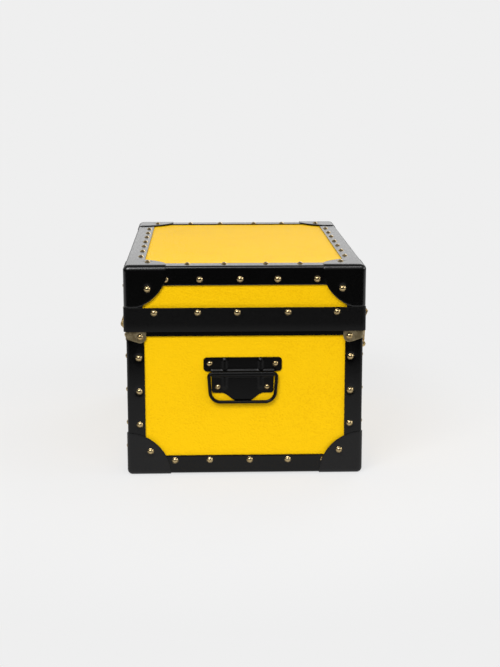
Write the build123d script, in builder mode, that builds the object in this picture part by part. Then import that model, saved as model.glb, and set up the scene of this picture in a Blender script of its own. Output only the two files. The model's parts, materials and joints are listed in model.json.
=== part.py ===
from build123d import *
import os
from math import asin, cos, degrees, radians, sin

# A travelling trunk: a plywood box covered in leathercloth, with its edges bound in black
# fibre, steel caps on its eight corners, a lid with a steel valance that hangs over the
# body's rim, a drop handle on each end, two snap catches, a lock and a quadrant lid stay.
#
# Frame: the origin is on the floor under the middle of the body. X runs along the length,
# -Y is the front with the catches, +Y is the back with the hinges, +Z is up.
# Sizes are in millimetres and angles in degrees.

# Overall sizes
length = 520.0          # body over its bindings, along X
width = 343.0           # body over its bindings, along Y
body_top = 232.0        # floor to the top of the body's rim
lid_depth = 79.6        # underside of the lid's rim to the top of its caps
rim_gap = 0.4           # between the closed lid and the body's rim

# Sheet thicknesses
board = 6.0             # plywood
cover = 1.0             # leathercloth
binding = 2.0           # vulcanised fibre
lining = 0.5            # paper inside
cap_sheet = 1.2         # steel of the corner caps
cap_gap = 0.3           # slack of a cap over the bindings
valance_sheet = 2.0
bracket_sheet = 1.0
joint_gap = 0.3         # between two bindings that meet

# Bindings, caps and valance
lid_overhang = 1.7      # the lid's walls stand this much outside the body's
corner_leg = 26.0       # width of the upright bindings on each face
base_leg = 26.0         # width of the base bindings under the box
base_side = 27.5        # their height up the walls
lid_leg = 27.6          # width of the lid's bindings on the top
lid_side = 28.0         # their depth down the walls
rim_side = 24.0         # depth of the body's rim binding
lid_rim_side = 16.0     # height of the lid's rim binding
edge_round = 4.5        # outer edge of every binding
foot_cap_reach = 64.0   # each lobe's radius from the box's corner
lid_cap_reach = 64.5    # the same on the lid, where the lobes stop above the valance
valance_drop = 17.0     # below the body's rim
valance_rise = 18.0     # above it
valance_gap = 0.5       # between the valance and the lid's caps

# Rivets
rivet_round = 4.65      # radius of a domed head
rivet_height = 3.0
cap_rivet = 34.5        # from the box's edges to the rivet in a cap's lobe
base_row = 20.0         # from the bottom of the base bindings to their rivets
lid_row = 19.5          # from the top of the lid's bindings to their rivets
top_row = 20.5          # from the lid's edges to the rivets in its top
upright_row = 17.8      # from the box's edges to the rivets in the upright bindings
upright_drop = 32.0     # from the rim binding to the highest of them
upright_rise = 12.0     # from the foot caps to the lowest of them
valance_row = 7.0       # from the valance's upper edge to its rivets
end_valance_inset = 39.5    # from the body's corners to the valance's outer rivets
end_lid_inset = 57.5        # to the outer rivets of the lid's row on an end
end_base_inset = 61.5       # to those of the base's row
long_valance_inset = 40.0
long_row_clear = 30.0       # from the caps to the long rows' outer rivets
top_long_clear = 33.5       # the same on the lid's top, along its length
top_end_clear = 25.0        # and along its ends
plate_clear = 1.0           # between a rivet and a hinge, strike or hasp beside it

# Brackets at the body's top corners
bracket_lobe = 9.0
bracket_rivet = 21.0    # from the box's edge to the rivet
bracket_rivet_drop = 25.0   # from the body's rim
bracket_edge_drop = 27.5    # lower edge at the box's corner
bracket_hidden = 6.0        # upper edge below the rim
bracket_slope = 15.0        # angle of its lower edge

# Drop handles
handle_drop = 80.0      # axis of the grip's top bar below the body's rim
handle_shift = 3.4      # the handles hang this far towards the back
wire = 2.5              # radius of the grip
wire_slack = 0.3
roll_sheet = 1.45       # sheet rolled round the grip
roll_length = 91.0
handle_sheet = 1.2
grip_top = 100.0        # between the legs' centres at the top
grip_bottom = 94.0
grip_drop = 41.9        # axis to the centre of the lower bar
grip_top_bend = 3.5
grip_bend = 12.0
grip_ends_gap = 2.0
flange_width = 114.0
flange_height = 20.6
flange_gap = 3.4        # axis to the flange's lower edge
flange_round = 5.0
apron_width = 90.0
apron_drop = 28.8
apron_lap = 6.0         # apron carried up behind the flange
apron_round = 6.0
apron_step = 8.0        # slope between the apron's lower edge and the tongue
tongue_width = 25.0
tongue_drop = 43.5
tongue_round = 4.0
rib_width = 7.0
rib_place = 26.0
rib_height = 1.0
rib_end = 4.0           # from the apron's ribs to its lower edge
flange_rib_end = 1.3    # from the flange's ribs to its edges
flange_rivet = 47.7
flange_rivet_rise = 14.8
apron_rivet = 36.0
apron_rivet_drop = 20.2
handle_rivet_round = 4.3
handle_rivet_height = 2.6

# Hinges
hinge_place = 150.0     # from the middle of the back
hinge_out = 8.0         # axis outside the body's bindings
hinge_drop = 21.0       # axis below the body's rim
knuckle = 4.6
pin = 2.0
pin_slack = 0.3
knuckle_length = 12.0
knuckle_gap = 0.3
leaf = 2.0
leaf_low = 40.0         # leaf's lower edge below the axis
leaf_top = 37.0         # lid leaf's upper edge above the axis
body_web = (10.0, 16.0)     # body leaf's web to its knuckles, below the axis
body_web_angle = -50.0      # where the web leaves the knuckle
lid_web = (13.0, 16.0)      # lid leaf's web, above the axis
lid_web_angle = 20.0
lid_web_cut = 4.0           # its inner edge above the axis
lid_leaf_low = 11.0         # lid leaf's lower edge above the axis
leaf_rivets = (-20.0, 0.0, 20.0)
lid_leaf_rivets = (-20.0, 20.0)
leaf_rivet_rise = 10.0      # from the body leaf's lower edge
leaf_rivet_drop = 8.0       # from the lid leaf's upper edge
pin_head = 3.2
pin_head_height = 1.2

# Snap catches
catch_place = 145.0
catch_width = 34.0
catch_sheet = 1.5
claw_knuckle = 4.5
claw_pin = 1.8
claw_out = 11.0         # pivot outside the body's bindings
claw_drop = 57.8        # pivot below the body's rim
claw_width = 17.0
claw_blade = 1.8
claw_reach = 2.5        # hook's nose inside the pivot when snapped
nose_gap = 0.5          # hook's nose above the strike's lip
nose_thick = 2.4
lip_thick = 2.0
lip_hold = 1.2          # how far the nose holds over the lip
lip_inset = 4.0         # from the strike's ends to its lip
strike_drop = 4.0       # from the valance's edge to the strike's
strike_rise = 0.5       # from the valance's lower edge to the lip
ear_web = (3.0, 10.0)   # the ears' web on the plate, below the pivot
ear_web_angle = 60.0
plate_low = 12.0        # catch plate's lower edge below the pivot
plate_top = 26.0        # its upper edge above the pivot
blade_out = -3.5        # blade's outer face from the pivot
thumb_out = 2.9         # thumb piece outside the blade
thumb_tip = 7.4         # its tip above the hook's nose
thumb_low = 6.0
thumb_root = 2.0
nose_root = 1.2         # where the hook leaves the blade
nose_root_rise = 4.0
catch_rivets = (-10.0, 10.0)
catch_rivet_rise = 19.0     # plate's rivets above the pivot
strike_rivet_drop = 10.5    # strike's and hasp's rivets below the valance's upper edge
claw_released = 2.5     # angle of the claws as modelled, from the snapped place

# Lock
case_width = 60.0
case_height = 42.0
case_drop = 21.0        # top of the case below the body's rim
case_out = 14.0
case_round = 2.5
tongue_plate = 2.0
hasp_width = 22.0
hasp_reach = 21.0       # the hasp's end below the hinge axis
hasp_slack = 0.5
hasp_swing = 1.2        # room for the hasp's arc in the case
hasp_room = 2.0         # room under the hasp
hasp_top = 2.0          # its upper edge below the valance's
hasp_round = 4.0
notch_depth = 6.5
notch_height = 9.0
notch_rise = 7.0        # from the hasp's end
bolt_height = 7.6
bolt_length = 17.0
bolt_slack = 0.4
button = 3.6
button_out = 3.0
button_round = 1.0

# Lid stay
lid_open = 82.0         # where the stay stops the lid
stay_width = 8.0
stay_sheet = 2.0
stay_wall_gap = 1.5     # between the stay and the body's lining
stay_floor_gap = 20.0
stay_slack = 0.5
keeper_height = 8.0
keeper_wall = 1.6
stop_angle = 3.0
stop_gap = 1.0          # angle kept between the stop and the keeper
stay_upper_angle = 22.0
boss = 4.0
boss_angles = (1.5, 8.0)    # from the stay's upper end

# Levels and faces that follow from the sizes
skin = cover + binding
end_x = length / 2
side_y = width / 2
board_x = end_x - skin
board_y = side_y - skin
cover_x = board_x + cover
cover_y = board_y + cover
inner_x = board_x - board
inner_y = board_y - board
cap_out = cap_sheet + cap_gap
base_low = cap_out                      # underside of the base bindings
base_cover_low = base_low + binding
base_board_low = base_cover_low + cover
wall_low = base_board_low + board
wall_top = body_top - binding
rim_low = body_top - rim_side
lid_low = body_top + rim_gap
height = lid_low + lid_depth
lid_end_x = end_x + lid_overhang
lid_side_y = side_y + lid_overhang
lid_board_x = board_x + lid_overhang
lid_board_y = board_y + lid_overhang
lid_cover_x = lid_board_x + cover
lid_cover_y = lid_board_y + cover
lid_inner_x = lid_board_x - board
lid_inner_y = lid_board_y - board
lid_binding_top = height - cap_out
lid_cover_top = lid_binding_top - binding
lid_board_top = lid_cover_top - cover
lid_wall_top = lid_board_top - board
lid_wall_low = lid_low + binding
valance_low = body_top - valance_drop
valance_top = body_top + valance_rise
valance_x = lid_end_x + valance_sheet
valance_y = lid_side_y + valance_sheet
lid_cap_side = height - valance_top - valance_gap
handle_z = body_top - handle_drop
cap_round = edge_round + cap_out
hinge_y = side_y + hinge_out
hinge_z = body_top - hinge_drop

SIDES = (-1, 1)
CORNERS = [(sx, sy) for sx in SIDES for sy in SIDES]


def slab(x0, x1, y0, y1, z0, z1, mode=Mode.ADD):
    """A box between two X, two Y and two Z values."""
    with Locations(((x0 + x1) / 2, (y0 + y1) / 2, (z0 + z1) / 2)):
        return Box(abs(x1 - x0), abs(y1 - y0), abs(z1 - z0), mode=mode)


def plan(half_x, half_y, z0, z1, mode=Mode.ADD):
    """A box centred on the Z axis."""
    return slab(-half_x, half_x, -half_y, half_y, z0, z1, mode)


def saw_mitres(half_x, half_y, z0, z1, leg):
    """Thin diagonal cuts that part a frame into four strips at its corners."""
    for sx, sy in CORNERS:
        with Locations(Location((sx * half_x, sy * half_y, (z0 + z1) / 2), (0, 0, 45 * sx * sy))):
            Box(4 * leg, joint_gap, 2 * (z1 - z0), mode=Mode.SUBTRACT)


def end_plane(sx, x, y=0.0, z=0.0):
    """The upright plane of an end: local x along the end, local y up, outward normal."""
    return Plane(origin=(sx * x, y, z), x_dir=(0, sx, 0), z_dir=(sx, 0, 0))


def long_plane(sy, y, z=0.0):
    """The upright plane of the front or the back, seen from outside."""
    return Plane(origin=(0, sy * y, z), x_dir=(-sy, 0, 0), z_dir=(0, sy, 0))


def section_plane(x, y, z, turn=0.0):
    """A plane across the X axis: local x towards +Y, local y up, turned about X."""
    a = radians(turn)
    return Plane(origin=(x, y, z), x_dir=(0, cos(a), sin(a)), z_dir=(1, 0, 0))


def save(piece, name):
    piece.part.label = name
    export_step(piece.part, f"parts/{name}.step")


os.makedirs("parts", exist_ok=True)

# ---------------------------------------------------------------- plywood boards

with BuildPart() as body_base_board:
    plan(board_x, board_y, base_board_low, wall_low)
save(body_base_board, "body_base_board")

with BuildPart() as lid_top_board:
    plan(lid_board_x, lid_board_y, lid_wall_top, lid_board_top)
save(lid_top_board, "lid_top_board")

for sy, name in zip(SIDES, ("front", "back")):
    with BuildPart() as body_long_board:
        slab(-board_x, board_x, sy * inner_y, sy * board_y, wall_low, wall_top)
    save(body_long_board, f"body_{name}_board")
    with BuildPart() as lid_long_board:
        slab(-lid_board_x, lid_board_x, sy * lid_inner_y, sy * lid_board_y, lid_wall_low, lid_wall_top)
    save(lid_long_board, f"lid_{name}_board")

for sx, name in zip(SIDES, ("left", "right")):
    with BuildPart() as body_end_board:
        slab(sx * inner_x, sx * board_x, -inner_y, inner_y, wall_low, wall_top)
    save(body_end_board, f"body_{name}_board")
    with BuildPart() as lid_end_board:
        slab(sx * lid_inner_x, sx * lid_board_x, -lid_inner_y, lid_inner_y, lid_wall_low, lid_wall_top)
    save(lid_end_board, f"lid_{name}_board")

# ---------------------------------------------------------------- covers and linings

with BuildPart() as body_side_cover:
    plan(cover_x, cover_y, base_board_low, wall_top)
    plan(board_x, board_y, base_board_low, wall_top, Mode.SUBTRACT)
save(body_side_cover, "body_side_cover")

with BuildPart() as body_base_cover:
    plan(cover_x, cover_y, base_cover_low, base_board_low)
save(body_base_cover, "body_base_cover")

with BuildPart() as lid_side_cover:
    plan(lid_cover_x, lid_cover_y, lid_wall_low, lid_board_top)
    plan(lid_board_x, lid_board_y, lid_wall_low, lid_board_top, Mode.SUBTRACT)
save(lid_side_cover, "lid_side_cover")

with BuildPart() as lid_top_cover:
    plan(lid_cover_x, lid_cover_y, lid_board_top, lid_cover_top)
save(lid_top_cover, "lid_top_cover")

with BuildPart() as body_lining:
    plan(inner_x, inner_y, wall_low, wall_top)
    plan(inner_x - lining, inner_y - lining, wall_low + lining, wall_top, Mode.SUBTRACT)
save(body_lining, "body_lining")

with BuildPart() as lid_lining:
    plan(lid_inner_x, lid_inner_y, lid_wall_low, lid_wall_top)
    plan(lid_inner_x - lining, lid_inner_y - lining, lid_wall_low, lid_wall_top - lining, Mode.SUBTRACT)
save(lid_lining, "lid_lining")

# ---------------------------------------------------------------- fibre bindings

for (sx, sy), name in zip(CORNERS, ("front_left", "back_left", "front_right", "back_right")):
    low = base_low + base_side + joint_gap
    high = rim_low - joint_gap
    with BuildPart() as corner_binding:
        slab(sx * (end_x - corner_leg), sx * end_x, sy * (side_y - corner_leg), sy * side_y, low, high)
        outer = corner_binding.edges().filter_by(Axis.Z).group_by(lambda e: abs(e.center().X))[-1]
        fillet(outer.sort_by(lambda e: abs(e.center().Y))[-1], edge_round)
        slab(0, sx * cover_x, 0, sy * cover_y, low, high, Mode.SUBTRACT)
    save(corner_binding, f"corner_binding_{name}")

with BuildPart() as base_bindings:
    plan(end_x, side_y, base_low, base_low + base_side)
    fillet(base_bindings.edges().filter_by(Axis.Z), edge_round)
    fillet(base_bindings.faces().sort_by(Axis.Z)[0].edges(), edge_round)
    plan(cover_x, cover_y, base_cover_low, base_low + base_side, Mode.SUBTRACT)
    plan(end_x - base_leg, side_y - base_leg, base_low, base_cover_low, Mode.SUBTRACT)
    saw_mitres(end_x, side_y, base_low, base_low + base_side, base_leg)
save(base_bindings, "base_bindings")

with BuildPart() as body_rim_binding:
    plan(end_x, side_y, rim_low, body_top)
    fillet(body_rim_binding.edges().filter_by(Axis.Z), edge_round)
    plan(cover_x, cover_y, rim_low, wall_top, Mode.SUBTRACT)
    plan(inner_x, inner_y, wall_top, body_top, Mode.SUBTRACT)
    saw_mitres(end_x, side_y, rim_low, body_top, board)
save(body_rim_binding, "body_rim_binding")

with BuildPart() as lid_rim_binding:
    plan(lid_end_x, lid_side_y, lid_low, lid_low + lid_rim_side)
    fillet(lid_rim_binding.edges().filter_by(Axis.Z), edge_round)
    plan(lid_cover_x, lid_cover_y, lid_wall_low, lid_low + lid_rim_side, Mode.SUBTRACT)
    plan(lid_inner_x, lid_inner_y, lid_low, lid_wall_low, Mode.SUBTRACT)
    saw_mitres(lid_end_x, lid_side_y, lid_low, lid_low + lid_rim_side, board)
save(lid_rim_binding, "lid_rim_binding")

with BuildPart() as lid_top_bindings:
    plan(lid_end_x, lid_side_y, lid_binding_top - lid_side, lid_binding_top)
    fillet(lid_top_bindings.edges().filter_by(Axis.Z), edge_round)
    fillet(lid_top_bindings.faces().sort_by(Axis.Z)[-1].edges(), edge_round)
    plan(lid_cover_x, lid_cover_y, lid_binding_top - lid_side, lid_cover_top, Mode.SUBTRACT)
    plan(lid_end_x - lid_leg, lid_side_y - lid_leg, lid_cover_top, lid_binding_top, Mode.SUBTRACT)
    saw_mitres(lid_end_x, lid_side_y, lid_binding_top - lid_side, lid_binding_top, lid_leg)
save(lid_top_bindings, "lid_top_bindings")

with BuildPart() as lid_corner_bindings:
    low = lid_low + lid_rim_side + joint_gap
    high = lid_binding_top - lid_side - joint_gap
    plan(lid_end_x, lid_side_y, low, high)
    fillet(lid_corner_bindings.edges().filter_by(Axis.Z), edge_round)
    plan(lid_cover_x, lid_cover_y, low, high, Mode.SUBTRACT)
    plan(lid_end_x - corner_leg, lid_side_y, low, high, Mode.SUBTRACT)
    plan(lid_end_x, lid_side_y - corner_leg, low, high, Mode.SUBTRACT)
save(lid_corner_bindings, "lid_corner_bindings")

# ---------------------------------------------------------------- steel caps and valance


def build_cap(x, y, z, sx, sy, sz, reach, side, name):
    """A pressed cap on the corner at x, y, z of a box: three round lobes, cut off at side."""
    with BuildPart() as cap:
        slab(x, x - sx * side, y, y - sy * side, z, z - sz * side)
        corner = Vector(x, y, z)
        fillet(cap.edges().sort_by_distance(corner)[:3], cap_round)
        open_faces = cap.faces().sort_by_distance(corner - Vector(sx, sy, sz) * side)[:3]
        offset(amount=-cap_sheet, openings=open_faces)
        with Locations((x, y, z)):
            Sphere(reach, mode=Mode.INTERSECT)
    save(cap, name)


for (sx, sy), name in zip(CORNERS, ("front_left", "back_left", "front_right", "back_right")):
    build_cap(sx * (end_x + cap_out), sy * (side_y + cap_out), 0.0,
              sx, sy, -1, foot_cap_reach, 2 * foot_cap_reach, f"foot_cap_{name}")
    build_cap(sx * (lid_end_x + cap_out), sy * (lid_side_y + cap_out), height,
              sx, sy, 1, lid_cap_reach, lid_cap_side, f"lid_cap_{name}")

with BuildPart() as valance_ring:
    plan(valance_x, valance_y, valance_low, valance_top)
    fillet(valance_ring.edges().filter_by(Axis.Z), edge_round + valance_sheet)
    with BuildSketch(Plane.XY.offset(valance_low)):
        RectangleRounded(2 * lid_end_x, 2 * lid_side_y, edge_round - joint_gap)
    extrude(amount=valance_top - valance_low, mode=Mode.SUBTRACT)
    saw_mitres(valance_x, valance_y, valance_low, valance_top, board)

valance_strips = {
    "left": valance_ring.solids().sort_by(Axis.X)[0],
    "right": valance_ring.solids().sort_by(Axis.X)[-1],
    "front": valance_ring.solids().sort_by(Axis.Y)[0],
    "back": valance_ring.solids().sort_by(Axis.Y)[-1],
}
for name, strip in valance_strips.items():
    with BuildPart() as valance:
        add(strip)
    save(valance, f"valance_{name}")

# ---------------------------------------------------------------- brass brackets under the valance


def bracket_outline(half):
    """One face of a bracket, out to its corner at local x = half; local y is the height."""
    rivet_x = half - bracket_rivet
    rivet_z = body_top - bracket_rivet_drop
    upper = body_top - bracket_hidden
    slope = radians(bracket_slope)
    with BuildSketch() as outline:
        with Locations((rivet_x, rivet_z)):
            Circle(bracket_lobe)
        with BuildLine():
            Polyline(
                (rivet_x - bracket_lobe, rivet_z),
                (rivet_x - bracket_lobe, upper),
                (half, upper),
                (half, body_top - bracket_edge_drop),
                (rivet_x + bracket_lobe * sin(slope), rivet_z - bracket_lobe * cos(slope)),
                close=True,
            )
        make_face()
    return outline.sketch


bracket_x = end_x + bracket_sheet
bracket_y = side_y + bracket_sheet
bracket_depth = edge_round + 2 * bracket_sheet
end_outline = bracket_outline(bracket_y)
long_outline = bracket_outline(bracket_x)
with BuildPart() as bracket_faces:
    for side in SIDES:
        with BuildSketch(end_plane(side, bracket_x)):
            add(end_outline)
            mirror(end_outline, about=Plane.YZ)
        extrude(amount=-bracket_depth)
        with BuildSketch(long_plane(side, bracket_y)):
            add(long_outline)
            mirror(long_outline, about=Plane.YZ)
        extrude(amount=-bracket_depth)

with BuildPart() as rim_brackets:
    low = body_top - bracket_rivet_drop - bracket_lobe
    with BuildSketch(Plane.XY.offset(low)):
        RectangleRounded(2 * bracket_x, 2 * bracket_y, edge_round + bracket_sheet)
        RectangleRounded(2 * end_x, 2 * side_y, edge_round, mode=Mode.SUBTRACT)
    extrude(amount=body_top - low)
    add(bracket_faces.part, mode=Mode.INTERSECT)
save(rim_brackets, "rim_brackets")

# ---------------------------------------------------------------- rivets


def even(count, span, drift=()):
    """Places spread evenly over a span about the middle, each moved by its own drift."""
    places = [span * (i / (count - 1) - 0.5) for i in range(count)]
    return [p + (drift[i] if i < len(drift) else 0.0) for i, p in enumerate(places)]


def on_end(sx, x, places, z):
    """Rivet seats on an end, at Y places seen in the shared frame."""
    return [Plane(origin=(sx * x, y, z), z_dir=(sx, 0, 0)).location for y in places]


def on_long(sy, y, places, z):
    return [Plane(origin=(x, sy * y, z), z_dir=(0, sy, 0)).location for x in places]


def on_top(x_places, y_places, z):
    return [Plane(origin=(x, y, z), z_dir=(0, 0, 1)).location for x in x_places for y in y_places]


def dome(radius, rise):
    """A domed rivet head whose flat seat is at the origin."""
    sphere = (radius ** 2 + rise ** 2) / (2 * rise)
    with BuildPart() as head:
        with Locations((0, 0, rise - sphere)):
            Sphere(sphere)
        slab(-2 * sphere, 2 * sphere, -2 * sphere, 2 * sphere, -3 * sphere, 0, Mode.SUBTRACT)
    return head.part


rivet = dome(rivet_round, rivet_height)

# The rows were set out by hand, so the rivets drift a few millimetres from an even pitch.
end_valance = even(5, width - 2 * end_valance_inset, (-1.0, 4.0, 11.0, 2.0, -1.0))
# The last rivet of the lid's row and the first of the base's are tucked half under a cap.
end_lid_row = even(5, width - 2 * end_lid_inset, (10.0, 10.0, 7.0, 8.0, 0.0))
end_base_row = even(5, width - 2 * end_base_inset, (-5.0, -8.0, -7.0, -3.0, -7.0))
long_share = (length - 2 * foot_cap_reach) / (width - 2 * foot_cap_reach)
long_count = 1 + round(4 * long_share)
long_valance = even(long_count, length - 2 * long_valance_inset)
long_row = even(long_count - 1, length - 2 * (foot_cap_reach + long_row_clear))
top_long_span = length - 2 * (foot_cap_reach + top_long_clear)
top_long_row = even(7, top_long_span, (-2.0, 0.0, 1.0, -1.0, 2.0, 0.0, 1.0))
top_end_row = even(4, width - 2 * (foot_cap_reach + top_end_clear), (2.0, -3.0, 2.0, 0.0))
upright_high = rim_low - upright_drop
upright_low = foot_cap_reach + upright_rise
upright_heights = [upright_high, (upright_high + upright_low) / 2, upright_low]

cap_row_x = end_x + cap_out - cap_rivet
cap_row_y = side_y + cap_out - cap_rivet
lid_cap_row_x = lid_end_x + cap_out - cap_rivet
lid_cap_row_y = lid_side_y + cap_out - cap_rivet
bracket_rivet_z = body_top - bracket_rivet_drop

body_seats = []
lid_seats = []
tucked_base_seats = []
tucked_lid_seats = []
for s in SIDES:
    tucked_base_seats += on_end(s, end_x, end_base_row[:1], base_low + base_row)
    tucked_lid_seats += on_end(s, lid_end_x, end_lid_row[-1:], lid_binding_top - lid_row)
    body_seats += on_end(s, end_x, end_base_row[1:], base_low + base_row)
    body_seats += on_end(s, end_x + cap_out, (-cap_row_y, cap_row_y), cap_rivet + cap_out)
    body_seats += on_long(s, side_y, long_row, base_low + base_row)
    body_seats += on_long(s, side_y + cap_out, (-cap_row_x, cap_row_x), cap_rivet + cap_out)
    for z in upright_heights:
        body_seats += on_end(s, end_x, (upright_row - side_y, side_y - upright_row), z)
        body_seats += on_long(s, side_y, (upright_row - end_x, end_x - upright_row), z)
    bracket_row_y = bracket_y - bracket_rivet
    bracket_row_x = bracket_x - bracket_rivet
    body_seats += on_end(s, bracket_x, (-bracket_row_y, bracket_row_y), bracket_rivet_z)
    body_seats += on_long(s, bracket_y, (-bracket_row_x, bracket_row_x), bracket_rivet_z)

    lid_seats += on_end(s, valance_x, end_valance, valance_top - valance_row)
    lid_seats += on_end(s, lid_end_x, end_lid_row[:-1], lid_binding_top - lid_row)
    lid_seats += on_long(s, lid_side_y, long_row, lid_binding_top - lid_row)
    lid_seats += on_end(s, lid_end_x + cap_out, (-lid_cap_row_y, lid_cap_row_y), height - cap_rivet)
    lid_seats += on_long(s, lid_side_y + cap_out, (-lid_cap_row_x, lid_cap_row_x), height - cap_rivet)
    lid_seats += on_top(top_long_row, (s * (lid_side_y - top_row),), lid_binding_top)
    lid_seats += on_top((s * (lid_end_x - top_row),), top_end_row, lid_binding_top)
    lid_seats += on_top((s * lid_cap_row_x,), (-lid_cap_row_y, lid_cap_row_y), height)

# ---------------------------------------------------------------- drop handles

roll = wire + wire_slack + roll_sheet
grip_x = cover_x + roll


def handle_outline():
    """The pressed plate behind the grip, from its flange down to its tongue."""
    with BuildSketch() as outline:
        with Locations((0, flange_gap + flange_height / 2)):
            RectangleRounded(flange_width, flange_height, flange_round)
        with BuildLine():
            Polyline(
                (-apron_width / 2, flange_gap + apron_lap),
                (-apron_width / 2, -apron_drop),
                (-tongue_width / 2 - apron_step, -apron_drop),
                (-tongue_width / 2, -apron_drop - apron_step),
                (-tongue_width / 2, -tongue_drop),
                (tongue_width / 2, -tongue_drop),
                (tongue_width / 2, -apron_drop - apron_step),
                (tongue_width / 2 + apron_step, -apron_drop),
                (apron_width / 2, -apron_drop),
                (apron_width / 2, flange_gap + apron_lap),
                close=True,
            )
        make_face()
        fillet(outline.vertices().group_by(Axis.Y)[0], tongue_round)
        lower = outline.vertices().filter_by(lambda v: abs(v.Y + apron_drop) < 0.01)
        fillet(lower, apron_round)
    return outline.sketch


plate_outline = handle_outline()
handle_rivet = dome(handle_rivet_round, handle_rivet_height)
handle_seats = []
for sx, name in zip(SIDES, ("left", "right")):
    face = end_plane(sx, cover_x, handle_shift, handle_z)
    with BuildPart() as handle_plate:
        with BuildSketch(face):
            add(plate_outline)
        extrude(amount=handle_sheet)
        with BuildSketch(face.offset(handle_sheet)):
            for side in SIDES:
                with Locations((side * rib_place, (rib_end - apron_drop) / 2)):
                    SlotCenterToCenter(apron_drop - rib_end - rib_width, rib_width, rotation=90)
                with Locations((side * rib_place, flange_gap + flange_height / 2)):
                    SlotCenterToCenter(flange_height - 2 * flange_rib_end - rib_width, rib_width, rotation=90)
        extrude(amount=rib_height)
        with BuildSketch(Plane(origin=(sx * grip_x, handle_shift - roll_length / 2, handle_z), z_dir=(0, 1, 0))):
            Circle(roll)
        extrude(amount=roll_length)
        with BuildSketch(Plane(origin=(sx * grip_x, handle_shift - roll_length / 2, handle_z), z_dir=(0, 1, 0))):
            Circle(wire + wire_slack)
        extrude(amount=roll_length, mode=Mode.SUBTRACT)
    save(handle_plate, f"handle_plate_{name}")

    with BuildPart() as handle_grip:
        with BuildLine(end_plane(sx, grip_x, handle_shift, handle_z)) as path:
            FilletPolyline(
                (grip_ends_gap / 2, 0),
                (grip_top / 2, 0),
                (grip_bottom / 2, -grip_drop),
                (-grip_bottom / 2, -grip_drop),
                (-grip_top / 2, 0),
                (-grip_ends_gap / 2, 0),
                radius=(grip_top_bend, grip_bend, grip_bend, grip_top_bend),
            )
        with BuildSketch(Plane(origin=path.wire() @ 0, z_dir=path.wire() % 0)):
            Circle(wire)
        sweep()
    save(handle_grip, f"handle_grip_{name}")

    outer = cover_x + handle_sheet
    for across, z in ((flange_rivet, handle_z + flange_rivet_rise), (apron_rivet, handle_z - apron_rivet_drop)):
        handle_seats += on_end(sx, outer, (handle_shift - across, handle_shift + across), z)

with BuildPart() as handle_rivets:
    with Locations(*handle_seats):
        add(handle_rivet)
save(handle_rivets, "handle_rivets")

# ---------------------------------------------------------------- hinges

hinge_width = 5 * knuckle_length
body_leaf_out = cover_y + leaf
lid_leaf_out = valance_y + leaf


def knuckles(x, numbers):
    """Where the numbered knuckles of a hinge centred at x start along the X axis."""
    return [x - hinge_width / 2 + knuckle_length * n + knuckle_gap / 2 for n in numbers]


with BuildPart() as hinge_body_leaves:
    for sx in SIDES:
        x = sx * hinge_place
        slab(x - hinge_width / 2, x + hinge_width / 2, cover_y, body_leaf_out,
             hinge_z - leaf_low, hinge_z - body_web[0])
        for start in knuckles(x, (0, 2, 4)):
            with BuildSketch(section_plane(start, hinge_y, hinge_z)):
                Circle(knuckle)
                Polygon(
                    (cover_y - hinge_y, -body_web[0]),
                    (cover_y - hinge_y, -body_web[1]),
                    (body_leaf_out - hinge_y, -body_web[1]),
                    (knuckle * cos(radians(body_web_angle)), knuckle * sin(radians(body_web_angle))),
                    (0.0, 0.0),
                    align=None,
                )
                Circle(pin + pin_slack, mode=Mode.SUBTRACT)
            extrude(amount=knuckle_length - knuckle_gap)
save(hinge_body_leaves, "hinge_body_leaves")

with BuildPart() as hinge_lid_leaves:
    for sx in SIDES:
        x = sx * hinge_place
        slab(x - hinge_width / 2, x + hinge_width / 2, valance_y, lid_leaf_out,
             hinge_z + lid_leaf_low, hinge_z + leaf_top)
        for start in knuckles(x, (1, 3)):
            with BuildSketch(section_plane(start, hinge_y, hinge_z)):
                Circle(knuckle)
                Polygon(
                    (valance_y - hinge_y, lid_web[0]),
                    (lid_leaf_out - hinge_y, lid_web[1]),
                    (knuckle * cos(radians(lid_web_angle)), knuckle * sin(radians(lid_web_angle))),
                    (0.0, 0.0),
                    (valance_y - hinge_y, lid_web_cut),
                    align=None,
                )
                Circle(pin + pin_slack, mode=Mode.SUBTRACT)
            extrude(amount=knuckle_length - knuckle_gap)
save(hinge_lid_leaves, "hinge_lid_leaves")

with BuildPart() as hinge_pins:
    for sx in SIDES:
        low = sx * hinge_place - hinge_width / 2 + knuckle_gap / 2
        high = low + hinge_width - knuckle_gap
        with BuildSketch(section_plane(low, hinge_y, hinge_z)):
            Circle(pin)
        extrude(amount=high - low)
        for start in (low - pin_head_height, high):
            with BuildSketch(section_plane(start, hinge_y, hinge_z)):
                Circle(pin_head)
            extrude(amount=pin_head_height)
save(hinge_pins, "hinge_pins")

for sx in SIDES:
    x = sx * hinge_place
    low = hinge_z - leaf_low + leaf_rivet_rise
    high = hinge_z + leaf_top - leaf_rivet_drop
    body_seats += on_long(1, body_leaf_out, [x + dx for dx in leaf_rivets], low)
    lid_seats += on_long(1, lid_leaf_out, [x + dx for dx in lid_leaf_rivets], high)

# ---------------------------------------------------------------- snap catches

claw_y = -(side_y + claw_out)
claw_z = body_top - claw_drop
lip_tip = claw_y + claw_reach - lip_hold
lip_low = valance_low + strike_rise
nose_low = lip_low + lip_thick + nose_gap - claw_z

with BuildPart() as catch_strikes:
    for sx in SIDES:
        x = sx * catch_place
        slab(x - catch_width / 2, x + catch_width / 2, -valance_y, -valance_y - catch_sheet,
             lip_low, valance_top - strike_drop)
        slab(x - catch_width / 2 + lip_inset, x + catch_width / 2 - lip_inset, -valance_y, lip_tip,
             lip_low, lip_low + lip_thick)
save(catch_strikes, "catch_strikes")

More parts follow.
